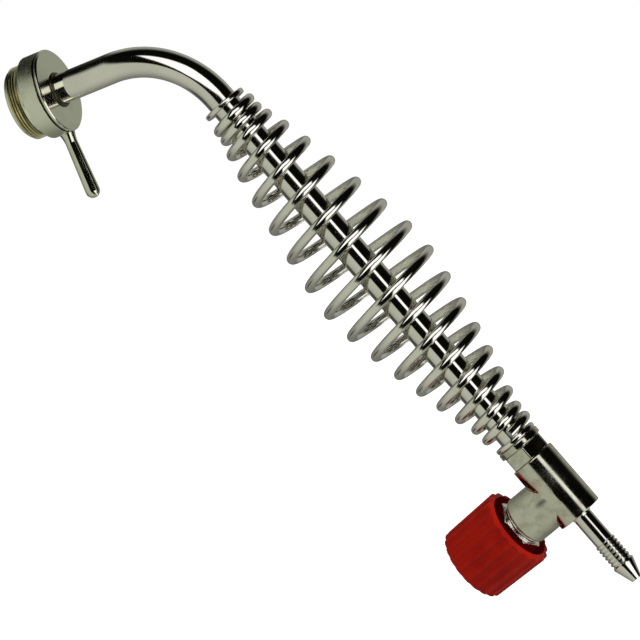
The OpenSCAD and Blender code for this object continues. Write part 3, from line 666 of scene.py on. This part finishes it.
def headOutline():
    bore = radii("screw_head", headPlace, headFace, headFace)[0]
    counterbore = radii("screw_head", headPlace, headFront, headFront)[0]
    shoulder = span("thrust_washer", headPlace)[1] + head["ringGap"]
    low, high = span("retaining_ring", headPlace)
    low, high = low - head["ringGap"], high + head["ringGap"]
    ringR = radii("retaining_ring", headPlace)[1] + 2 * head["ringGap"]
    lead, soft = head["threadLead"], head["threadRound"]
    back, c = threadHalf + head["relief"], head["chamfer"]
    grooveEnd, grooveR = headFace - head["grooveBack"], flangeR - head["grooveDepth"]
    grooveStart = grooveEnd - head["grooveWidth"]
    return rounded([
        (counterbore, headFront, crisp), (coreR - lead, headFront, soft), (coreR, headFront + lead, soft),
        (coreR, back, soft), (flangeR - c, back, 2 * crisp), (flangeR, back + c, broken),
        (flangeR, grooveStart, crisp), (grooveR, grooveStart, crisp),
        (grooveR, grooveEnd, crisp), (flangeR, grooveEnd, crisp),
        (flangeR, headFace - c, broken), (flangeR - c, headFace, broken),
        (bore, headFace, crisp), (bore, shoulder, 0), (counterbore, shoulder, 0), (counterbore, high, 0),
        (ringR, high, 0), (ringR, low, 0), (counterbore, low, 0),
    ])


def buildThread(sizes):
    tree, given = newTree("threadRidge", sizes)
    turns = given["Length"] / given["Pitch"]
    spiral = node(tree, "GeometryNodeCurveSpiral", {
        "Resolution": 120, "Rotations": turns, "Start Radius": given["Core Radius"],
        "End Radius": given["Core Radius"], "Height": given["Length"],
    })
    upright = node(tree, "GeometryNodeSetCurveNormal", {"Curve": spiral.outputs[0]}, mode="Z_UP")
    ridge = node(tree, "GeometryNodeCurvePrimitiveCircle", {"Resolution": 4, "Radius": 1.0})
    shape = node(tree, "GeometryNodeTransform", {
        "Geometry": ridge.outputs[0], "Scale": vectorOf(tree, given["Depth"], given["Pitch"] * 0.5, 1.0),
    })
    sweep = node(tree, "GeometryNodeCurveToMesh", {
        "Curve": upright.outputs[0], "Profile Curve": shape.outputs[0], "Fill Caps": True,
    })
    endTree(tree, sweep, given)
    return tree


def buildGrime():  # painted shade where metal is cut in, between two radii about the head's axis and two places along it
    tree, given, out = effectGroup("paintedShadeInCuts", {
        "Deep": 12.0, "Shallow": 14.0, "Low": 0.0, "High": 5.0, "Fade": 0.1,
    }, "Painted Shade")
    place = node(tree, "ShaderNodeTexCoord").outputs["Object"]
    parts = node(tree, "ShaderNodeSeparateXYZ", {0: place})
    along, across, up = [Num(tree, parts.outputs[k]) / mm for k in range(3)]
    radius = (across * across + up * up).math("SQRT")
    low, high, fade = given["Low"], given["High"], given["Fade"]
    mask = radius.step(given["Shallow"], given["Deep"]) * along.step(low - fade, low)
    plug(tree, mask * along.step(high + fade, high), out.inputs["Painted Shade"])
    return tree


def soil(material, deep, shallow, low, high):  # mixes the painted shade in before the base colour
    tree = material.node_tree
    colour = tree.nodes["Principled BSDF"].inputs["Base Color"]
    unshaded = colour.links[0].from_socket
    cuts = node(tree, "ShaderNodeGroup", {
        "Deep": deep, "Shallow": shallow, "Low": low, "High": high, "Fade": head["paintedShadeFade"],
    }, node_tree=paintedShadeInCuts)
    plug(tree, mixed(tree, cuts.outputs["Painted Shade"], unshaded, head["paintedShade"]), colour)


paintedShadeInCuts = buildGrime()
# painted shade in the flange's groove and in the thread's roots
soil(finishes["plated_head"], flangeR - head["grooveDepth"], flangeR - head["paintedShadeFade"],
     headFace - head["grooveBack"] - head["grooveWidth"], headFace - head["grooveBack"])
soil(threadFinish, coreR, coreR + head["paintedShadeRise"] * head["threadDepth"], headFront, threadHalf)
turnPiece("screw_head", headOutline(), headPlace, head["steps"])
threadLength = 2 * threadHalf - head["threadPitch"]
thread = grown("screw_head_thread", buildThread, {
    "Core Radius": coreR, "Length": threadLength, "Pitch": head["threadPitch"], "Depth": head["threadDepth"],
}, headPlace @ Matrix.Translation((0, 0, -threadLength / 2)))
thread.data.shade_smooth()
thread.data.set_sharp_from_angle(angle=head["threadSharp"])
seat(thread, "screw_head", False, threadFinish)
print("head turned and threaded")

# the lever: fillet cone, swelling shank and round end
lever = {"rootR": 2.45, "endR": 2.9, "coneR": 3.3, "coneHeight": 4.5, "coneHollow": 1.7, "coneSteps": 12,
         "sink": 0.15, "endSteps": 14, "sides": 64}
bush = {"rounds": (crisp, crisp, 0.6, 0.2)}  # the low end's bore and rim, then the high end's rim and bore


def makeLever():
    low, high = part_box("tommy_bar")
    place = placeAlong(Vector(((low[0] + high[0]) / 2, 0, 0)), Vector((0, 0, -1)), Vector((-1, 0, 0)))
    foot, tip = span("tommy_bar", place)
    flat = math.sqrt(flangeR ** 2 - lever["coneR"] ** 2) - lever["sink"]
    rootR, endR = lever["rootR"], lever["endR"]
    outline = [(0, foot), (rootR, foot), (rootR, flat)]
    for k in range(lever["coneSteps"] + 1):  # the cone's side is hollow, as a fillet is
        t = k / lever["coneSteps"]
        swell = (lever["coneR"] - rootR) * (1 - t) ** lever["coneHollow"]
        outline.append((rootR + swell, flat + lever["coneHeight"] * t))
    for t in np.linspace(0, math.pi / 2, lever["endSteps"]):
        outline.append((endR * math.cos(t), tip - endR + endR * math.sin(t)))
    turnPiece("tommy_bar", outline, place, lever["sides"])


def makeRing(name, place, rounds, steps=5):  # a ring with its node's bore, rim and ends
    low, high = span(name, place)
    inner, outer = radii(name, place)
    corners = zip((inner, outer, outer, inner), (low, low, high, high), rounds)
    turnPiece(name, rounded(list(corners), steps), place)


makeLever()
makeRing("swivel_bush", headPlace, bush["rounds"])
print("lever and bush made")

# the gooseneck: one bend between two straight runs, with its bore
gooseneck = {"bendR": 38.7, "bendSteps": 56, "sides": 96, "headRing": 0.7, "pastBend": 8, "handleRings": 16}
stopRing = {"rounds": (crisp, 0.75, 0.75, crisp), "steps": 7}


def makeGooseneck():
    start = span("gooseneck_tube", headPlace)[0]
    end = span("gooseneck_tube", handlePlace)[1]
    bore, outer = radii("gooseneck_tube", headPlace, start, start)
    bend, bendR, sides = math.acos(handleDir.x), gooseneck["bendR"], gooseneck["sides"]
    corner, tangent = cornerPos.x / mm, bendR * math.tan(bend / 2)
    bendStart = corner - tangent
    stations = [(start, 0.0, 0.0), (bendStart * gooseneck["headRing"], 0.0, 0.0)]  # x, z and the turn so far
    for k in range(gooseneck["bendSteps"] + 1):
        turn = bend * k / gooseneck["bendSteps"]
        stations.append((bendStart + bendR * math.sin(turn), bendR * (math.cos(turn) - 1), turn))
    for s in np.linspace(tangent + gooseneck["pastBend"], end, gooseneck["handleRings"]):
        stations.append((corner + s * handleDir.x, s * handleDir.z, bend))
    rings = [(outer, *station) for station in stations] + [(bore, *station) for station in reversed(stations)]
    points, faces = [], []
    for i, (radius, x, z, turn) in enumerate(rings):  # out along the outside, then back along the bore
        here, there = i * sides, (i + 1) % len(rings) * sides
        for j in range(sides):
            angle = 2 * math.pi * j / sides
            k = (j + 1) % sides
            out, y = radius * math.cos(angle), radius * math.sin(angle)
            points.append((x + out * math.sin(turn), y, z + out * math.cos(turn)))
            faces.append((here + j, here + k, there + k, there + j))
    tube = newPiece("gooseneck_tube_drawn", points, faces)
    tidyMesh(tube.data)
    tube.data.transform(Matrix.Diagonal((mm, mm, mm, 1)))
    polish(tube.data)
    seat(tube, "gooseneck_tube")


makeGooseneck()
for name in ("upper_stop_ring", "lower_stop_ring"):
    makeRing(name, handlePlace, stopRing["rounds"], stopRing["steps"])
print("tube bent, rings turned")

# the coil grip: one wire whose radius and pitch follow a rule, closed at both ends
coil = {"Wire Radius": 1.9, "Turns": 17.45, "Closed Pitch": 4.25, "Open Pitch": 12.9, "Open Turn": 6.3,
        "Opening Turns": 4.5, "Closing Turns": 11.0, "Belly Radius": 22.9, "Cone Step": 2.2,
        "Belly Turn": 8.8, "Belly Round": 0.7, "End Radius": 8.7, "Blend": 0.38,
        "Start Angle": math.radians(65)}
coilMesh = {"faceGap": 0.1, "ringsPerTurn": 96, "sides": 24, "sharpOver": math.radians(50)}


def buildCoil(sizes):
    tree, given = newTree("coilWire", sizes)
    over = given["Wire Radius"] / given["End Radius"] / math.pi  # each end runs straight on, a wire's width
    index = Num(tree, node(tree, "GeometryNodeInputIndex").outputs[0])
    turn = index / (given["Rings"] - 1.0) * (given["Turns"] + over * 2.0) - over
    on = turn.math("MAXIMUM", 0.0).math("MINIMUM", given["Turns"])
    late = on.math("GREATER_THAN", given["Open Turn"])
    side = given["Opening Turns"] + (given["Closing Turns"] - given["Opening Turns"]) * late
    x = ((on - given["Open Turn"]) / side).math("MAXIMUM", -1.0).math("MINIMUM", 1.0)
    opening = given["Open Pitch"] - given["Closed Pitch"]
    spread = x - x * x * x / 3.0
    height = given["Start Height"] + given["Closed Pitch"] * on + opening * side * spread
    height = height + opening * given["Opening Turns"] * (2.0 / 3.0)
    off = on - given["Belly Turn"]
    bow = (off * off + given["Belly Round"] * given["Belly Round"]).math("SQRT") - given["Belly Round"]
    cone = given["Belly Radius"] - given["Cone Step"] * bow - given["End Radius"]
    flare = ((cone / given["Blend"]).math("EXPONENT") + 1.0).math("LOGARITHM", math.e)
    radius = given["End Radius"] + given["Blend"] * flare
    angle = given["Start Angle"] + on * (2 * math.pi)
    past = turn - on
    sweep = past * radius * (2 * math.pi)
    cosine, sine = angle.math("COSINE"), angle.math("SINE")
    position = vectorOf(tree, radius * cosine - sweep * sine, radius * sine + sweep * cosine,
                        height + past * given["Closed Pitch"])
    line = node(tree, "GeometryNodeMeshLine", {"Count": given["Rings"]})
    placed = node(tree, "GeometryNodeSetPosition", {"Geometry": line.outputs[0], "Position": position})
    wire = node(tree, "GeometryNodeMeshToCurve", {0: placed.outputs[0]})
    section = node(tree, "GeometryNodeCurvePrimitiveCircle", {
        "Resolution": given["Sides"], "Radius": given["Wire Radius"],
    })
    swept = node(tree, "GeometryNodeCurveToMesh", {
        "Curve": wire.outputs[0], "Profile Curve": section.outputs[0], "Fill Caps": True,
    })
    endTree(tree, swept, given)
    return tree


def makeCoil():
    endRun = coil["Wire Radius"] * coil["Closed Pitch"] / math.pi / coil["End Radius"]
    start = span("upper_stop_ring", handlePlace)[1] + coilMesh["faceGap"] + coil["Wire Radius"] + endRun
    rings = round(coil["Turns"] * coilMesh["ringsPerTurn"])
    sizes = coil | {"Start Height": start, "Rings": rings, "Sides": coilMesh["sides"]}
    wire = grown("coil_grip_wound", buildCoil, sizes, handlePlace)
    wire.data.shade_smooth()
    wire.data.set_sharp_from_angle(angle=coilMesh["sharpOver"])
    seat(wire, "coil_grip")


makeCoil()
print("coil wound")

# the connector and the tee: milled and blended metal
connector = {"collarR": 9.2, "hexR": 9.3, "hexTurn": 10, "collarWidth": 2.6, "threadR": 6.0, "boreR": 3.8,
             "tubeSeat": 5.0}
tee = {"bodyR": 9.3, "neckR": 10.15, "neckReach": 19.3, "neckBack": 1.0, "neckSunk": 0.1, "flare": 13.0,
       "blend": 0.5, "gridStep": 0.3, "socketDepth": 6.3, "sealDepth": 1.02, "upperSealR": 7.7,
       "tailSealR": 6.1, "tailSocketR": 4.42, "tailSocket": 5.1, "inletR": 2.25, "outletR": 2.3,
       "outletBack": 1.15, "outletRise": 6.7, "chamberR": 5.5, "chamberFloor": 4.4, "chamberTop": 12.275,
       "seatR": 4.02, "seatPress": 1.0, "seatBoreR": 2.0, "bonnetSocketR": 7.02}
runGap, fitGap = 0.05, 0.02  # how far the bush runs clear of the tube, and how far a socket stands clear
overrun = 1  # how far a cutter or a thread runs on past the face where it starts
tubeFitR = radii("swivel_bush", headPlace)[0] - runGap + fitGap
bodyStart, bodyEnd = span("valve_body", handlePlace)
branchHeight = (branchPos - cornerPos).length / mm


def connectorField(p):
    low, high = span("tube_connector", handlePlace)
    hexStart = low + connector["collarWidth"]
    shape = np.minimum(rod(p, connector["collarR"], low, hexStart, eased),
                       hexRod(p, connector["hexR"], hexStart, bodyStart, connector["hexTurn"], eased))
    shape = np.minimum(shape, rod(p, connector["threadR"], bodyStart - overrun, high))
    shape = softMax(shape, -rod(p, tubeFitR, low - overrun, low + connector["tubeSeat"]), crisp)
    return softMax(shape, -rod(p, connector["boreR"], low, high + overrun), crisp)


def teeField(p):  # the branch runs along local x
    middle = p - np.array((0, 0, branchHeight))
    body = rod(p, tee["bodyR"], bodyStart, bodyEnd, eased)
    rise = np.clip((middle[..., 0] + tee["neckBack"]) / tee["flare"], 0, 1)
    neckRoot = tee["bodyR"] - tee["neckSunk"]
    neckR = neckRoot + (tee["neckR"] - neckRoot) * rise * rise * (3 - 2 * rise)
    neck = np.hypot(middle[..., 1], middle[..., 2]) - neckR
    neck = softMax(neck, middle[..., 0] - tee["neckReach"], eased)
    neck = softMax(neck, -middle[..., 0] - tee["neckBack"], broken)
    shape = softMin(body, neck, tee["blend"])
    outletFoot = bodyStart + tee["socketDepth"] - tee["outletBack"]
    run = branchHeight - tee["chamberR"] / 2 - outletFoot
    slant, half = math.atan2(tee["outletRise"], run), math.hypot(tee["outletRise"], run) / 2
    outlet = p - np.array((0, 0, outletFoot))
    along = outlet[..., 0] * math.sin(slant) + outlet[..., 2] * math.cos(slant)
    across = np.hypot(outlet[..., 0] * math.cos(slant) - outlet[..., 2] * math.sin(slant), outlet[..., 1])
    drilled = np.maximum(across - tee["outletR"], np.abs(along - half) - half)
    floor, top = tee["chamberFloor"], tee["chamberTop"]
    for hollow in (
        rod(p, tee["upperSealR"], bodyStart - overrun, bodyStart + tee["sealDepth"]),
        rod(p, connector["threadR"] + fitGap, bodyStart - overrun, bodyStart + tee["socketDepth"]),
        rod(p, tee["tailSealR"], bodyEnd - tee["sealDepth"], bodyEnd + overrun),
        rod(p, tee["tailSocketR"], bodyEnd - tee["tailSocket"], bodyEnd + overrun),
        rod(p, tee["inletR"], branchHeight - tee["inletR"], bodyEnd),
        rod(middle, tee["seatBoreR"], 0, top, axis=0),
        rod(middle, tee["seatR"], floor - tee["seatPress"], top, axis=0),
        rod(middle, tee["chamberR"], floor, top + overrun, axis=0),
        rod(middle, tee["bonnetSocketR"], top, tee["neckReach"] + overrun, axis=0),
        drilled,
    ):
        shape = softMax(shape, -hollow, crisp)
    return shape


def mill(name, field, r, place, step=0.28):  # a piece within radius r of its axis, as long as its node
    low, high = span(name, place)
    seat(fieldPiece(name + "_milled", field, (-r, -r, low), (r, r, high), step, place), name)


def makeTee():
    low, high = (-tee["bodyR"], -tee["neckR"], bodyStart), (tee["neckReach"], tee["neckR"], bodyEnd)
    seat(fieldPiece("valve_body_blended", teeField, low, high, tee["gridStep"], handlePlace), "valve_body")


mill("tube_connector", connectorField, connector["hexR"], handlePlace)
makeTee()
print("connector and tee made")

# the bonnet and the gland nut, about the branch axis
bonnet = {"hexR": 11.0, "hexLength": 5.6, "collarR": 8.8, "collarEdge": 0.4, "collarWidth": 1.5,
          "threadR": 7.0, "boreR": 4.0, "packingR": 5.5, "packingDepth": 6.7}
gland = {"hexR": 7.5, "hexLength": 3.4, "hexTurn": 15, "spigotR": 5.48}
lap = 0.3  # how far a collar or a spigot runs into its hexagon


def bonnetField(p):
    low, high = span("bonnet", branchPlace)
    hexStart = high - bonnet["hexLength"]
    collar = rod(p, bonnet["collarR"], hexStart - bonnet["collarWidth"], hexStart + lap, bonnet["collarEdge"])
    shape = np.minimum(rod(p, bonnet["threadR"], low, hexStart), hexRod(p, bonnet["hexR"], hexStart, high, 0))
    shape = softMax(np.minimum(shape, collar), -rod(p, bonnet["boreR"], low - overrun, high), crisp)
    return softMax(shape, -rod(p, bonnet["packingR"], high - bonnet["packingDepth"], high + overrun), crisp)


def glandField(p):
    low, high = span("gland_nut", branchPlace)
    hexStart = high - gland["hexLength"]
    shape = np.minimum(rod(p, gland["spigotR"], low, hexStart + lap),
                       hexRod(p, gland["hexR"], hexStart, high, gland["hexTurn"]))
    return softMax(shape, -rod(p, bonnet["boreR"], low - overrun, high + overrun), crisp)


mill("bonnet", bonnetField, bonnet["hexR"], branchPlace)
mill("gland_nut", glandField, gland["hexR"], branchPlace)
print("bonnet and gland nut milled")

# the hose tail: filleted stem, fine ridges and a long barb
tail = {"threadR": 4.4, "stemR": 3.95, "fillet": 1.3, "filletSteps": 8, "ridges": 6, "ridgePitch": 1.68,
        "ridgeR": 4.4, "ridgeDepth": 0.5, "ridgeLand": 0.9, "barbR": 4.65, "barbLength": 8.1, "barbLand": 0.5,
        "footRound": 0.12, "barbRound": 0.15, "tipR": 2.15, "tipRound": 0.4, "boreR": 1.5}


def makeTail():
    low, high = span("hose_tail", handlePlace)
    barb, ridgeR, depth = high - tail["barbLength"], tail["ridgeR"], tail["ridgeDepth"]
    ridgeEnd = barb - tail["ridgePitch"] / 2
    first = ridgeEnd - tail["ridges"] * tail["ridgePitch"]
    corners = [(tail["boreR"], low, crisp), (tail["threadR"], low, 2 * crisp), (tail["threadR"], bodyEnd, 0)]
    for k in range(tail["filletSteps"] + 1):
        angle = math.pi / 2 * k / tail["filletSteps"]
        corners.append((tail["stemR"] + tail["fillet"] * (1 - math.sin(angle)),
                        bodyEnd + tail["fillet"] * (1 - math.cos(angle)), 0))
    corners.append((tail["stemR"], first - 2 * crisp, broken))
    for k in range(tail["ridges"]):
        foot = first + k * tail["ridgePitch"]
        corners.append((ridgeR - depth, foot, crisp))
        corners.append((ridgeR, foot + depth / 2, crisp))
        corners.append((ridgeR, foot + depth / 2 + tail["ridgeLand"], crisp))
        corners.append((ridgeR - depth, foot + depth + tail["ridgeLand"], crisp))
    corners += [(ridgeR - depth, ridgeEnd, tail["footRound"]), (tail["barbR"], barb, tail["barbRound"]),
                (tail["barbR"], barb + tail["barbLand"], broken), (tail["tipR"], high, tail["tipRound"]),
                (tail["boreR"], high, crisp)]
    turnPiece("hose_tail", rounded(corners), handlePlace)


makeTail()
print("hose tail turned")

# the knob: a turned cup whose wall takes its flutes, and whose hub takes its square, in a tree
knob = {"rimR": 16.3, "endR": 15.6, "mouthR": 13.75, "mouthRound": 0.25, "floorR": 12.8, "floorRound": 0.8,
        "wallEnd": 3.2, "wallSteps": 10, "bevel": 1.2, "round": 0.7, "hubR": 6.5, "hubBack": 10.6,
        "hubRound": 0.6, "square": 2.72, "capR": 5.02, "capDepth": 1.42, "screwR": 3.8, "screwDepth": 3.0,
        "ribs": 4, "ribThick": 1.6, "ribBack": 2.5, "ribSunk": 0.5, "holeReach": 0.1, "wallReach": 1.0,
        "arcSteps": 7, "steps": 400}
cap = {"sideRound": 0.15, "topRound": 0.45, "steps": 96}
flutes = {"Flutes": 20.0, "Cutter Radius": 2.0, "Depth": 0.9, "Softness": 0.3}


def buildFlutes(sizes):
    tree, given = newTree("knobFlutes", {"Knob": "Geometry"} | sizes)
    parts = node(tree, "ShaderNodeSeparateXYZ", {0: node(tree, "GeometryNodeInputPosition").outputs[0]})
    x, y, z = [Num(tree, parts.outputs[k]) for k in range(3)]
    radius = (x * x + y * y).math("SQRT")
    angle = y.math("ARCTAN2", x)
    pitch = given["Flutes"].math("POWER", -1.0) * (2 * math.pi)
    around = angle.math("PINGPONG", pitch * 0.5)
    centre = given["End Radius"] + given["Cutter Radius"] - given["Depth"]
    centre = centre + (given["End Height"] - z) * given["Lean"]
    side = around.math("SINE") * centre
    inside = (given["Cutter Radius"] * given["Cutter Radius"] - side * side).math("MAXIMUM", 0.0)
    cutTo = centre * around.math("COSINE") - inside.math("SQRT")
    fluted = radius.math("SMOOTH_MIN", cutTo, given["Softness"])
    longest = angle.math("COSINE").math("ABSOLUTE").math("MAXIMUM", angle.math("SINE").math("ABSOLUTE"))
    squared = radius / longest
    atHole = radius.math("LESS_THAN", given["Hub Hole"] + knob["holeReach"])  # these points make the square
    atWall = radius.math("GREATER_THAN", given["End Radius"] - knob["wallReach"])  # and these take the flutes
    changed = radius + (squared - radius) * atHole + (fluted - radius) * atWall
    grow = changed / radius.math("MAXIMUM", 0.001)  # kept off zero
    moved = node(tree, "GeometryNodeSetPosition", {
        "Geometry": given["Knob"], "Position": vectorOf(tree, x * grow, y * grow, z),
    })
    endTree(tree, moved, given)
    return tree


def knobOutline(low, high):
    floor, hub = high - knob["wallEnd"], low + knob["hubBack"]
    seatAt, screw = high - knob["capDepth"], high - knob["screwDepth"]
    rim = low + knob["bevel"]
    wall = [(knob["rimR"] + (knob["endR"] - knob["rimR"]) * t, rim + (high - low - knob["bevel"]) * t, 0)
            for t in np.linspace(0, 1, knob["wallSteps"])[1:-1]]
    return rounded([
        (knob["mouthR"], low, knob["mouthRound"]), (knob["rimR"], rim, broken), *wall,
        (knob["endR"], high, knob["round"]), (knob["capR"], high, 2 * crisp), (knob["capR"], seatAt, 0),
        (knob["screwR"], seatAt, 0), (knob["screwR"], screw, 0), (knob["square"], screw, 0),
        (knob["square"], hub, 0), (knob["hubR"], hub, broken), (knob["hubR"], floor, knob["hubRound"]),
        (knob["floorR"], floor, knob["floorRound"]),
    ], knob["arcSteps"])


def makeRib(low, high, turn):  # a web between hub and wall, its edges rounded
    rib, sunk = bmesh.new(), knob["ribSunk"]
    foot, end = low + knob["hubBack"] + knob["ribBack"], high - knob["wallEnd"] + sunk
    bmesh.ops.create_cube(rib, size=1)
    inner, outer = knob["hubR"] - sunk, knob["floorR"] + sunk
    bmesh.ops.scale(rib, vec=(outer - inner, knob["ribThick"], end - foot), verts=rib.verts)
    bmesh.ops.bevel(rib, geom=rib.edges, offset=broken, segments=3, profile=0.5, affect="EDGES")
    bmesh.ops.translate(rib, vec=((outer + inner) / 2, 0, (end + foot) / 2), verts=rib.verts)
    bmesh.ops.rotate(rib, matrix=Matrix.Rotation(turn, 3, "Z"), verts=rib.verts)
    return rib


def makeKnob():
    low, high = span("control_knob", branchPlace)
    lean = (knob["rimR"] - knob["endR"]) / (high - low - knob["bevel"])
    cup = grown("control_knob_moulded", buildFlutes, flutes | {
        "End Radius": knob["endR"], "End Height": high, "Lean": lean, "Hub Hole": knob["square"],
    }, Matrix(), spun("knobBase", knobOutline(low, high), knob["steps"]))
    whole = bmesh.new()
    whole.from_mesh(cup.data)
    for k in range(knob["ribs"]):
        rib = makeRib(low, high, 2 * math.pi * (k + 0.5) / knob["ribs"])
        web = bpy.data.meshes.new("rib")
        rib.to_mesh(web)
        whole.from_mesh(web)
        rib.free()
    whole.to_mesh(cup.data)
    whole.free()
    cup.data.transform(branchPlace)
    polish(cup.data)
    seat(cup, "control_knob")


def makeCap():
    low, high = span("knob_cap", branchPlace)
    outer = radii("knob_cap", branchPlace)[1]
    side, top = cap["sideRound"], cap["topRound"]
    outline = rounded([(0, low, 0), (outer, low, side), (outer, high - side, top), (0, high, 0)])
    turnPiece("knob_cap", outline, branchPlace, cap["steps"], "moulded")


makeKnob()
makeCap()
print("knob and cap moulded")
